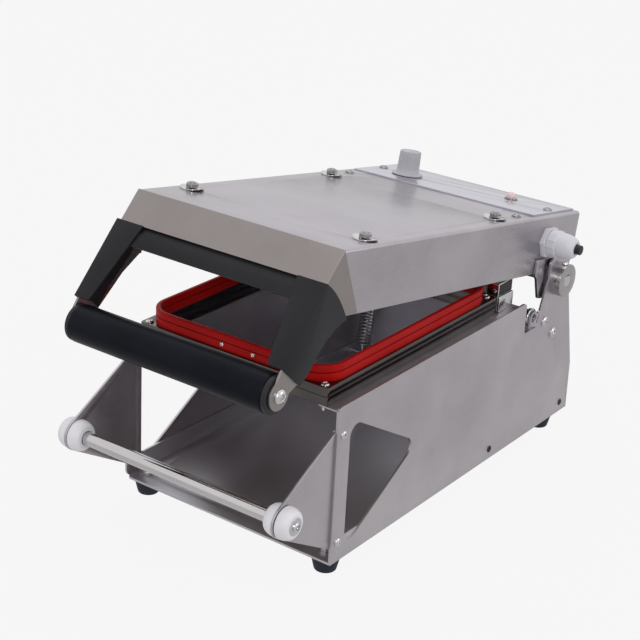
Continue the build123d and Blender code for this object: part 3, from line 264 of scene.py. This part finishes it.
def softened(node, width, material, segments=3, angle=28, folds=None, fold_width=0.0):
    """The CAD node with its sharp edges rounded, so that they catch the light as real edges do.

    folds picks the edges that are bends in the sheet, which are rounded to fold_width first; their rolled
    faces take a much lighter steel, a painted highlight along the bend.
    """
    builder = bmesh.new()
    builder.from_mesh(frame["nodes"][node].data)
    bmesh.ops.remove_doubles(builder, verts=builder.verts, dist=1e-6)
    bmesh.ops.dissolve_limit(
        builder, angle_limit=math.radians(0.6), verts=builder.verts, edges=builder.edges
    )
    if folds:
        bends = [edge for edge in builder.edges if folds(edge)]
        rolled = bmesh.ops.bevel(
            builder, geom=bends, offset=fold_width * MM, segments=5, profile=0.5, affect="EDGES",
            clamp_overlap=False,
        )
        # the rolled faces take the second slot, a lighter steel that paints a highlight on the bend
        for face in rolled["faces"]:
            face.material_index = 1
    raw = bpy.data.meshes.new(node + "_raw")
    builder.to_mesh(raw)
    builder.free()
    carrier = bpy.data.objects.new(node + "_carrier", raw)
    scene.collection.objects.link(carrier)
    bevel = carrier.modifiers.new("round_edges", "BEVEL")
    bevel.width = width * MM
    bevel.segments = segments
    bevel.limit_method = "ANGLE"
    bevel.angle_limit = math.radians(angle)
    depsgraph = bpy.context.evaluated_depsgraph_get()
    mesh = bpy.data.meshes.new_from_object(carrier.evaluated_get(depsgraph))
    bpy.data.objects.remove(carrier)
    mesh.shade_smooth()
    mesh.set_sharp_from_angle(angle=math.radians(30))
    piece = place(node + "_skin", mesh, material, node_body(node), node_slot(node), node)
    if folds:
        # slot 1: the lighter steel of the painted highlight on the bends
        piece.data.materials.append(materials["bend_steel"])
    return piece


def axis_matrix(origin, axis):
    """A matrix whose Z lies along axis."""
    z = Vector(axis).normalized()
    x = X_AXIS if abs(z.x) < 0.9 else Vector((0, 1, 0))
    x = (x - z * x.dot(z)).normalized()
    matrix = Matrix((x, z.cross(x), z)).transposed().to_4x4()
    matrix.translation = Vector(origin)
    return matrix


def add_lathe(builder, origin, axis, profile, segments=72, wave=None):
    """Turns a profile of (radius, height) in mm about the axis; wave scales the radius by angle."""
    matrix = axis_matrix(origin, axis)
    rings = []
    for radius, height in profile:
        if radius < 1e-6:
            rings.append([builder.verts.new(matrix @ Vector((0, 0, height * MM)))])
            continue
        ring = []
        for step in range(segments):
            turn = math.tau * step / segments
            reach = radius * (wave(turn, radius, height) if wave else 1.0) * MM
            ring.append(
                builder.verts.new(
                    matrix @ Vector((reach * math.cos(turn), reach * math.sin(turn), height * MM))
                )
            )
        rings.append(ring)
    for low, high in zip(rings, rings[1:]):
        for step in range(segments):
            after = (step + 1) % segments
            corners = [low[step % len(low)], low[after % len(low)]]
            corners += [high[after % len(high)], high[step % len(high)]]
            corners = list(dict.fromkeys(corners))
            if len(corners) > 2:
                builder.faces.new(corners)
    for ring, start in ((rings[0], True), (rings[-1], False)):
        if len(ring) > 1:
            builder.faces.new(ring[::-1] if start else ring)


def rounded(points, radius=0.5, steps=4):
    """A lathe profile with its inner corners rounded."""
    result = [points[0]]
    for before, corner, after in zip(points, points[1:], points[2:]):
        here = Vector(corner)
        back, ahead = Vector(before) - here, Vector(after) - here
        reach = min(radius, back.length * 0.45, ahead.length * 0.45)
        start, end = here + back.normalized() * reach, here + ahead.normalized() * reach
        for step in range(steps + 1):
            share = step / steps
            point = start * (1 - share) ** 2 + here * 2 * share * (1 - share) + end * share**2
            result.append((point.x, point.y))
    result.append(points[-1])
    return result


def islands(node):
    """The corners of each separate solid in a CAD node."""
    builder = bmesh.new()
    builder.from_mesh(frame["nodes"][node].data)
    bmesh.ops.remove_doubles(builder, verts=builder.verts, dist=1e-6)
    seen, found = set(), []
    for vertex in builder.verts:
        if vertex in seen:
            continue
        group, stack = [], [vertex]
        seen.add(vertex)
        while stack:
            here = stack.pop()
            group.append(here.co.copy())
            for edge in here.link_edges:
                other = edge.other_vert(here)
                if other not in seen:
                    seen.add(other)
                    stack.append(other)
        found.append(group)
    builder.free()
    return found


def middle_of(points):
    return sum(points, Vector()) / len(points)


def crown(points, axis, depth=0.2 * MM):
    """The middle of the face where a solid ends along an axis, from its corners within depth of that end."""
    reach = max(point.dot(axis) for point in points)
    top = middle_of([point for point in points if reach - point.dot(axis) < depth])
    return top + axis * (reach - top.dot(axis))


def clamped(value):
    return max(0.0, min(1.0, value))


def cross_depth(x, y, arm, width, depth):
    """Depth of a cross recess at (x, y), with sloping walls."""

    def trench(along, over):
        return clamped((width / 2 + 0.25 - abs(over)) / 0.35) * clamped((arm - abs(along)) / 0.6)

    return depth * max(trench(x, y), trench(y, x))


def hex_depth(x, y, half_flat, depth):
    """Depth of a hexagon recess at (x, y), with sloping walls."""
    flat = max(abs(x * math.cos(turn) + y * math.sin(turn)) for turn in (0, math.pi / 3, math.tau / 3))
    return depth * clamped((half_flat - flat) / 0.2)


def add_pan_head(builder, top, axis, radius, height, turn=0.4, recess="cross"):
    """A domed screw head whose crown is at top, with a recess driven into it."""
    matrix = axis_matrix(top, axis) @ Matrix.Rotation(turn, 4, "Z")
    segments, deepest = 64, 1.8
    shares = [0, 0.06, 0.12, 0.18, 0.24, 0.3, 0.36, 0.42, 0.48, 0.54, 0.6, 0.7, 0.8, 0.9, 0.97, 1.0]

    def drop_at(x, y, share):
        dome = height * (1 - math.sqrt(max(0.0, 1 - (share * 0.96) ** 2)))
        if recess == "cross":
            return dome + cross_depth(x, y, radius * 0.55, radius * 0.2, min(height * 0.75, deepest))
        return dome + hex_depth(x, y, radius * 0.5, min(height * 0.8, deepest))

    rings = []
    for share in [*shares, None]:                # None: the skirt, at the head's foot
        reach = radius * (1.0 if share is None else share)
        ring = []
        for step in range(segments):
            angle = math.tau * step / segments
            x, y = reach * math.cos(angle), reach * math.sin(angle)
            drop = height if share is None else drop_at(x, y, share)
            ring.append(builder.verts.new(matrix @ Vector((x * MM, y * MM, -drop * MM))))
        rings.append(ring)
    for low, high in zip(rings, rings[1:]):
        for step in range(segments):
            after = (step + 1) % segments
            builder.faces.new((low[step], low[after], high[after], high[step]))
    builder.faces.new(rings[-1])
    bmesh.ops.remove_doubles(builder, verts=rings[0], dist=1e-6)


def screw_set(node, axis_of, radius, height, recess="cross", material="bright_steel"):
    """Replaces a node of fasteners with domed, recessed heads on plain shanks."""
    builder = bmesh.new()
    for index, points in enumerate(islands(node)):
        axis = Vector(axis_of(middle_of(points))).normalized()
        top = crown(points, axis)
        add_pan_head(builder, top, axis, radius, height, 0.35 + 0.8 * index, recess)
        depth = (top.dot(axis) - min(point.dot(axis) for point in points)) / MM
        add_lathe(
            builder, top, -axis,
            [(0, height * 0.98), (radius * 0.5, height * 0.98), (radius * 0.5, depth), (0, depth)], 24,
        )
    mesh = finished_mesh(builder, node + "_detailed")
    return place(node + "_detailed", mesh, material, node_body(node), node_slot(node), node)


def outward(centre):
    return X_AXIS if centre.x > mid_x else -X_AXIS


def helix_mesh(name, start, end, radius, wire, pitch, hooks=(0.0, 0.0)):
    """A coil spring between two points, as a tube along a helix; hooks are its straight ends' lengths."""
    axis = end - start
    length = axis.length / MM
    matrix = axis_matrix(start, axis)
    first, last = hooks
    body = length - first - last
    turns = body / pitch
    points = []
    if first:
        points += [Vector((0, 0, 0)), Vector((0, 0, first * 0.5))]
    count = int(turns * 20)
    for step in range(count + 1):
        angle = math.tau * turns * step / count
        ease = min(1.0, step / 16, (count - step) / 16) if first else 1.0
        reach = radius * ease
        points.append(
            Vector((reach * math.cos(angle), reach * math.sin(angle), first + body * step / count))
        )
    if last:
        points += [Vector((0, 0, length - last * 0.5)), Vector((0, 0, length))]
    curve = bpy.data.curves.new(name, "CURVE")
    curve.dimensions = "3D"
    curve.bevel_depth = wire / 2 * MM
    curve.bevel_resolution = 3
    curve.use_fill_caps = True
    spline = curve.splines.new("POLY")
    spline.points.add(len(points) - 1)
    for target, point in zip(spline.points, points):
        target.co = (*(matrix @ (point * MM)), 1)
    carrier = bpy.data.objects.new(name, curve)
    scene.collection.objects.link(carrier)
    depsgraph = bpy.context.evaluated_depsgraph_get()
    mesh = bpy.data.meshes.new_from_object(carrier.evaluated_get(depsgraph))
    bpy.data.objects.remove(carrier)
    mesh.shade_smooth()
    return mesh


# ---------------------------------------------------------------- base
def dress_base():
    for node, width, material in (
        ("left_side_plate", 0.35, "side_steel"),
        ("right_side_plate", 0.35, "side_steel"),
        ("left_film_wing", 0.35, "side_steel"),
        ("right_film_wing", 0.35, "side_steel"),
        ("floor_pan", 0.35, "pan_steel"),
        # the rear panel's lavender colour is a painted reflection
        ("rear_panel", 0.35, "rear_paint"),
        ("tray_rails", 0.3, "side_steel"),
        ("tower_plates", 0.35, "upright_steel"),
        ("rear_cross_tube", 0.35, "cross_steel"),
        ("tube_end_plugs", 0.5, "bright_steel"),
        ("stop_blocks", 0.5, "black_plastic"),
        ("stop_straps", 0.3, "bright_steel"),
        ("mould_frame_lower", 0.7, "frame_steel"),
        ("mould_frame_upper", 0.9, "frame_steel"),
    ):
        softened(node, width, material)
    softened("gasket_lower", 1.6, "silicone", 5)
    softened("gasket_upper", 1.6, "silicone", 5)
    for node, width, material in (
        ("cross_rod", 0.5, "bright_steel"),
        ("cross_rod_sleeve", 0.4, "black_plastic"),
        ("cross_rod_discs", 0.8, "bright_steel"),
        ("hinge_caps", 1.0, "cap_steel"),
        ("hinge_set_screws", 0.3, "bright_steel"),
        ("hinge_shaft", 0.5, "bright_steel"),
        ("spring_anchor_pins", 0.4, "bright_steel"),
        ("foot_screws", 0.4, "bright_steel"),
    ):
        softened(node, width, material)


def make_feet():
    bore, bore_mouth, draft, lip = 4, 4.6, 3, 0.4
    builder = bmesh.new()
    for points in islands("rubber_feet"):
        low = Vector([min(point[axis] for point in points) for axis in range(3)])
        high = Vector([max(point[axis] for point in points) for axis in range(3)])
        height = (high.z - low.z) / MM
        radius = (high.x - low.x) / 2 / MM
        profile = rounded(
            [
                (bore, 3), (bore_mouth, 0), (radius - lip - draft, 0), (radius - lip, height - 2.5),
                (radius - lip, height), (bore, height),
            ],
            1.8,
        )
        middle = (low + high) / 2
        add_lathe(builder, (middle.x, middle.y, low.z), (0, 0, 1), profile)
    mesh = finished_mesh(builder, "feet")
    place("feet_detailed", mesh, "foot_rubber", "base", "foot_rubber", "rubber_feet")


def make_fasteners():
    """Each set's head radius and height in mm, and its recess."""
    screw_set("wing_bolts", outward, 3.9, 2.4)
    screw_set("tower_bolts", outward, 5.2, 2.8, "hex")
    screw_set("mould_bolts", lambda centre: (0, 0, 1), 3.6, 2.0)
    screw_set("pan_screws", outward, 3.4, 0.8, "hex", "black_plastic")
    screw_set("gasket_screws", lambda centre: (0, -1, 0), 1.9, 1.0)
    # the lid screw heads are darkened as painted shade for the gaps round them
    screw_set("lid_screws", lambda centre: lid_up, 4.4, 2.2, "hex", "screw_steel")
    screw_set("grip_screws", outward, 6.4, 4.4)


def stretched(name, mesh, node):
    """A coil spring laid in world space, dressed in spring wire, in place of the hidden CAD node."""
    coil = bpy.data.objects.new(name, mesh)
    scene.collection.objects.link(coil)
    dress(coil, "spring_wire")
    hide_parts(node)
    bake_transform(coil)


def make_lift_springs():
    foot_hook, head_hook, eye = 6, 26, 1.0     # straight ends past the CAD tube, and into it
    wire, pitch, coil_inset = 2.2, 3.6, 1.2
    for side in ("left", "right"):
        node = side + "_lift_spring"
        low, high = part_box(node)
        middle = (low + high) / 2
        slant = Vector((0, high.y - low.y, high.z - low.z))
        reach = (high.x - low.x) / 2
        along = slant.normalized()
        # the box of a slanting tube is wider than its axis by the tube's own tilted radius
        half_y = (high.y - low.y) / 2 - reach * along.z
        half_z = (high.z - low.z) / 2 - reach * along.y
        half = Vector((0, half_y, half_z))
        axis = half.normalized()
        start = middle - half - axis * foot_hook * MM
        end = middle + half + axis * head_hook * MM
        hooks = (foot_hook + eye, head_hook + eye)
        mesh = helix_mesh(node + "_coil", start, end, reach / MM - coil_inset, wire, pitch, hooks)
        stretched(node + "_coil", mesh, node)


# ---------------------------------------------------------------- film rod
def quarter_round(inner, base, outer, top, power=1.0):
    """Profile points from (outer, base) round to (inner, top)."""
    points = []
    for step in range(13):
        turn = math.radians(90 * step / 12)
        reach = inner + (outer - inner) * math.cos(turn) ** power
        points.append((reach, base + (top - base) * math.sin(turn)))
    return points


def make_film_rod():
    bore, crown_radius, rim = 6.2, 9.0, 1.4
    softened("film_rod", 0.6, "rod_steel")
    for node, label in (("inner_rod_domes", "inner"), ("outer_rod_domes", "outer")):
        builder = bmesh.new()
        for points in islands(node):
            side = 1 if middle_of(points).x > mid_x else -1
            direction = side if label == "outer" else -side
            near = min(points, key=lambda point: point.x * direction).x
            far = max(points, key=lambda point: point.x * direction).x
            depth = abs(far - near) / MM
            radius = max(abs(point.z - rod_axis.z) for point in points) / MM
            profile = [(bore, 0), (radius - 0.6, 0), (radius - 0.12, 0.5)]
            profile += quarter_round(crown_radius, rim, radius, depth)
            profile += [(bore + 0.4, depth), (bore, depth - 0.4), (bore, 0)]
            add_lathe(builder, (near, rod_axis.y, rod_axis.z), (direction, 0, 0), profile)
        mesh = finished_mesh(builder, label + "_domes")
        place(label + "_domes_detailed", mesh, "white_nylon", node_body(node), "nylon", node)
    head_radius, head_height, washer_radius, washer_sheet = 4.3, 2.4, 7.5, 0.8
    washer_back = head_height + washer_sheet
    washer = [(head_radius - 0.1, head_height), (washer_radius, head_height), (washer_radius, washer_back),
              (0, washer_back)]
    low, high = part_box("rod_end_screws")
    builder = bmesh.new()
    for side, tip in ((-1, low.x), (1, high.x)):
        top = Vector((tip, rod_axis.y, rod_axis.z))
        add_lathe(builder, top, (-side, 0, 0), rounded(washer, 0.3))
        add_pan_head(builder, top, (side, 0, 0), head_radius, head_height, 0.5, "hex")
    mesh = finished_mesh(builder, "rod_screws")
    place("rod_screws_detailed", mesh, "bright_steel", "film_bar", "stainless_fasteners", "rod_end_screws")


# ---------------------------------------------------------------- lid
def dress_lid():
    softened("lid_shell", 0.6, "lid_steel")
    panel_low, panel_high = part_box("lid_front_panel")
    top_level = hinge.dot(lid_up) + 60 * MM      # just under the lid's top face
    bend = 1.25

    def side_fold(edge):
        """The sloping sheet's outer edges, where it turns into the side cheeks."""
        ends = [vertex.co for vertex in edge.verts]
        level = [end.dot(lid_up) for end in ends]
        outside = all(min(end.x - panel_low.x, panel_high.x - end.x) < 0.05 * MM for end in ends)
        return outside and max(level) > top_level and max(level) - min(level) > 20 * MM

    # the front panel's bends get a painted highlight in a lighter steel
    # the front panel's darker steel is painted shade
    softened("lid_front_panel", 0.45, "front_steel", folds=side_fold, fold_width=bend)
    for node, width, material in (
        ("handle_bracket", 0.5, "black_paint"),
        ("hinge_ears", 0.4, "upright_steel"),
        ("hinge_bushes", 0.3, "white_nylon"),
        ("control_panel", 0.4, "panel_steel"),
        ("curved_washers", 0.2, "bright_steel"),
        # the heater studs take the darker steel of painted shade
        ("heater_studs", 0.4, "screw_steel"),
        ("lid_spring_pins", 0.4, "bright_steel"),
        ("thermostat", 1.2, "black_plastic"),
        ("gland_nut", 0.6, "gland_nylon"),
        ("grip_axle", 0.4, "bright_steel"),
        ("lead_stub", 0.4, "black_plastic"),
        ("heater_plate", 1.0, "heater_coating"),
        ("heater_insulation", 1.5, "insulation"),
    ):
        softened(node, width, material)


def make_gland():
    low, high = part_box("cable_gland")
    nut_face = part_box("gland_nut")[1].x
    stub_low, stub_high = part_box("lead_stub")
    stub = (stub_low + stub_high) / 2
    depth = (high.x - nut_face) / MM
    radius = (high.z - low.z) / 2 / MM
    bore = (stub_high.z - stub_low.z) / 2 / MM + 0.1
    neck = radius - 0.7
    body_end, dome_start, rib_end = 8.5, 10.2, 9
    profile = [(bore, -2), (radius - 0.6, 0), (radius, 0.6), (radius, body_end)]
    profile += [(neck, 9.2), (neck, dome_start)]
    profile += quarter_round(bore + 1.6, dome_start, neck, depth, 0.9)
    profile += [(bore + 0.5, depth), (bore, depth - 0.6), (bore, -2)]

    def ribs(turn, reach, height):
        return 1 + 0.035 * math.cos(6 * turn) ** 8 if height < rib_end and reach > radius - 1 else 1.0

    builder = bmesh.new()
    add_lathe(builder, (nut_face, stub.y, stub.z), (1, 0, 0), profile, 144, ribs)
    mesh = finished_mesh(builder, "gland")
    place("gland_detailed", mesh, "gland_nylon", "lid", "black_plastic", "cable_gland")


def make_knob():
    panel_top = 1.9              # the control panel's face over the knob's foot
    pointer_size = Vector((0.9, 6.5, 0.5))
    pointer_height, pointer_offset = 23.75, 4.2
    builder = bmesh.new()

    def flutes(turn, reach, height):
        fluted = 6.0 < height < 24.0 and reach > 9
        return 1 - 0.045 * (0.5 + 0.5 * math.cos(24 * turn)) ** 1.5 if fluted else 1.0

    skirt = rounded([(0, 0), (15.3, 0), (15.3, 1.4), (11.6, 2.4), (11.2, 4.4)], 0.4)
    body = [(11.0, 5.0), (11.0, 6.2), (10.9, 12.0), (10.7, 19.0), (10.5, 22.6)]
    cap = [(10.3, 23.4), (9.6, 23.9), (8.2, 24.0), (7.9, 23.6), (0, 23.5)]
    add_lathe(builder, knob_foot + lid_up * panel_top * MM, lid_up, skirt + body + cap, 288, flutes)
    mesh = finished_mesh(builder, "knob")
    place("knob_detailed", mesh, "knob_plastic", "knob", "black_plastic", "temperature_knob")
    pointer = bmesh.new()
    bmesh.ops.create_cube(pointer, size=1.0)
    size = Matrix.Diagonal((*(pointer_size * MM), 1))
    at = axis_matrix(knob_foot + lid_up * (panel_top + pointer_height) * MM, lid_up)
    pointer.transform(at @ Matrix.Translation((0, -pointer_offset * MM, 0)) @ size)
    bmesh.ops.bevel(pointer, geom=pointer.edges, offset=0.12 * MM, segments=2, affect="EDGES")
    place("knob_pointer", finished_mesh(pointer, "knob_pointer"), "white_nylon", "knob", "nylon")


def make_lamp():
    lens_radius, lens_depth = 4.35, 16.0
    bezel_low, bezel_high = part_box("lamp_bezel")
    corners = [vertex.co for vertex in frame["nodes"]["lamp_lens"].data.vertices]
    tip = crown(corners, lid_up, 2 * MM)
    origin = Vector(((bezel_low.x + bezel_high.x) / 2, tip.y, tip.z))
    builder = bmesh.new()
    profile = [(0, 0)]
    for step in range(1, 13):
        turn = math.radians(90 * step / 12)
        profile.append((lens_radius * math.sin(turn), lens_radius * (1 - math.cos(turn))))
    profile += [(lens_radius, lens_depth), (0, lens_depth)]
    add_lathe(builder, origin, -lid_up, profile, 48)
    mesh = finished_mesh(builder, "lamp_lens")
    place("lamp_lens_detailed", mesh, "clear_red", "lid", "lamp_red", "lamp_lens")
    # the bezel is darkened as painted shade for the dark rim round the lens
    softened("lamp_bezel", 0.4, "screw_steel")


def make_heater_springs():
    radius, wire, pitch, end_gap = 5.0, 1.2, 4.0, 0.8
    for index, points in enumerate(islands("heater_springs")):
        levels = [point.dot(lid_up) for point in points]
        centre = middle_of(points)
        foot = centre + lid_up * (min(levels) + end_gap * MM - centre.dot(lid_up))
        head = centre + lid_up * (max(levels) - end_gap * MM - centre.dot(lid_up))
        mesh = helix_mesh(f"heater_coil_{index}", foot, head, radius, wire, pitch)
        stretched(f"heater_coil_{index}", mesh, "heater_springs")


# ---------------------------------------------------------------- grip bar
def make_grip():
    low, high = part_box("grip_tube")
    radius = (high.z - low.z) / 2 / MM
    length = (high.x - low.x) / MM
    wall, edge = 3, 0.9
    inner = radius - wall
    profile = rounded(
        [
            (inner, 1), (inner, 0), (radius - edge, 0), (radius, 1.0), (radius, length - 1.0),
            (radius - edge, length), (inner, length), (inner, length - 1), (inner, 1),
        ],
        0.5,
    )
    builder = bmesh.new()
    add_lathe(builder, (low.x, grip_axis.y, grip_axis.z), (1, 0, 0), profile, 96)
    mesh = finished_mesh(builder, "grip")
    place("grip_detailed", mesh, "grip_plastic", "grip", "grip_plastic", "grip_tube")
    softened("grip_end_caps", 1.0, "black_plastic")


# ---------------------------------------------------------------- stage, light and camera
def make_stage():
    """A pale, self-lit floor: seen is how bright it looks, bounce is the light it gives the machine."""
    span, seen, bounce = 12.0, 0.905, 0.62
    mesh = bpy.data.meshes.new("floor")
    corners = [(-span, -span, 0), (span, -span, 0), (span, span, 0), (-span, span, 0)]
    mesh.from_pydata(corners, [], [(0, 1, 2, 3)])
    floor = bpy.data.objects.new("floor", mesh)
    scene.collection.objects.link(floor)
    material, shader = new_material("floor_paper", (0.02, 0.02, 0.02), 0.95)
    shader.inputs["Specular IOR Level"].default_value = 0.0
    shader.inputs["Emission Color"].default_value = (1, 1, 1, 1)
    paths = material.node_tree.nodes.new("ShaderNodeLightPath")
    strength = remap(material, paths.outputs["Is Camera Ray"], bounce, seen, 0.0, 1.0)
    material.node_tree.links.new(strength, shader.inputs["Emission Strength"])
    floor.data.materials.append(material)


def area_light(name, place_at, look_at, size, power):
    """A square softbox of the given side."""
    data = bpy.data.lights.new(name, "AREA")
    data.shape = "RECTANGLE"
    data.size = data.size_y = size
    data.energy = power
    light = bpy.data.objects.new(name, data)
    light.location = place_at
    direction = Vector(look_at) - Vector(place_at)
    light.rotation_euler = direction.to_track_quat("-Z", "Y").to_euler()
    scene.collection.objects.link(light)


def make_light():
    world = bpy.data.worlds.new("studio")
    scene.world = world
    world.use_nodes = True
    background = world.node_tree.nodes["Background"]
    background.inputs["Color"].default_value = (0.985, 0.985, 1.0, 1)
    background.inputs["Strength"].default_value = 0.94
    middle = (0, 0, 0.15)
    area_light("top_softbox", (-0.2, 0.5, 2.2), middle, 1.6, 7)
    area_light("side_softbox", (2.2, 0.9, 1.2), middle, 1.2, 6)
    area_light("front_softbox", (1.25, -1.6, 1.15), middle, 0.35, 6)


def make_camera():
    """The viewpoint: azimuth and elevation round the object, roll, and where the lens's axis lies."""
    azimuth, elevation, roll = math.radians(37.68), math.radians(22.80), math.radians(2.03)
    distance = 1.4249
    target = Vector((mid_x - 0.036, hinge.y - 0.2779, 0.1748))
    back = Vector(
        (
            math.sin(azimuth) * math.cos(elevation),
            -math.cos(azimuth) * math.cos(elevation),
            math.sin(elevation),
        )
    )
    right = (-back).cross(Vector((0, 0, 1))).normalized()
    up = right.cross(-back)
    rolled_right = right * math.cos(roll) + up * math.sin(roll)
    rolled_up = up * math.cos(roll) - right * math.sin(roll)
    matrix = Matrix((rolled_right, rolled_up, back)).transposed().to_4x4()
    matrix.translation = target + back * distance
    data = bpy.data.cameras.new("camera")
    data.sensor_width = 36
    data.lens = 91.05
    data.shift_x = 0.104
    data.shift_y = -0.0108
    data.clip_start = 0.01
    data.clip_end = 50
    camera = bpy.data.objects.new("camera", data)
    camera.matrix_world = matrix
    scene.collection.objects.link(camera)
    scene.camera = camera


dress_base()
make_feet()
make_fasteners()
make_lift_springs()
make_film_rod()
dress_lid()
make_gland()
make_knob()
make_lamp()
make_heater_springs()
make_grip()
make_stage()
make_light()
make_camera()
scene.view_settings.view_transform = "Standard"
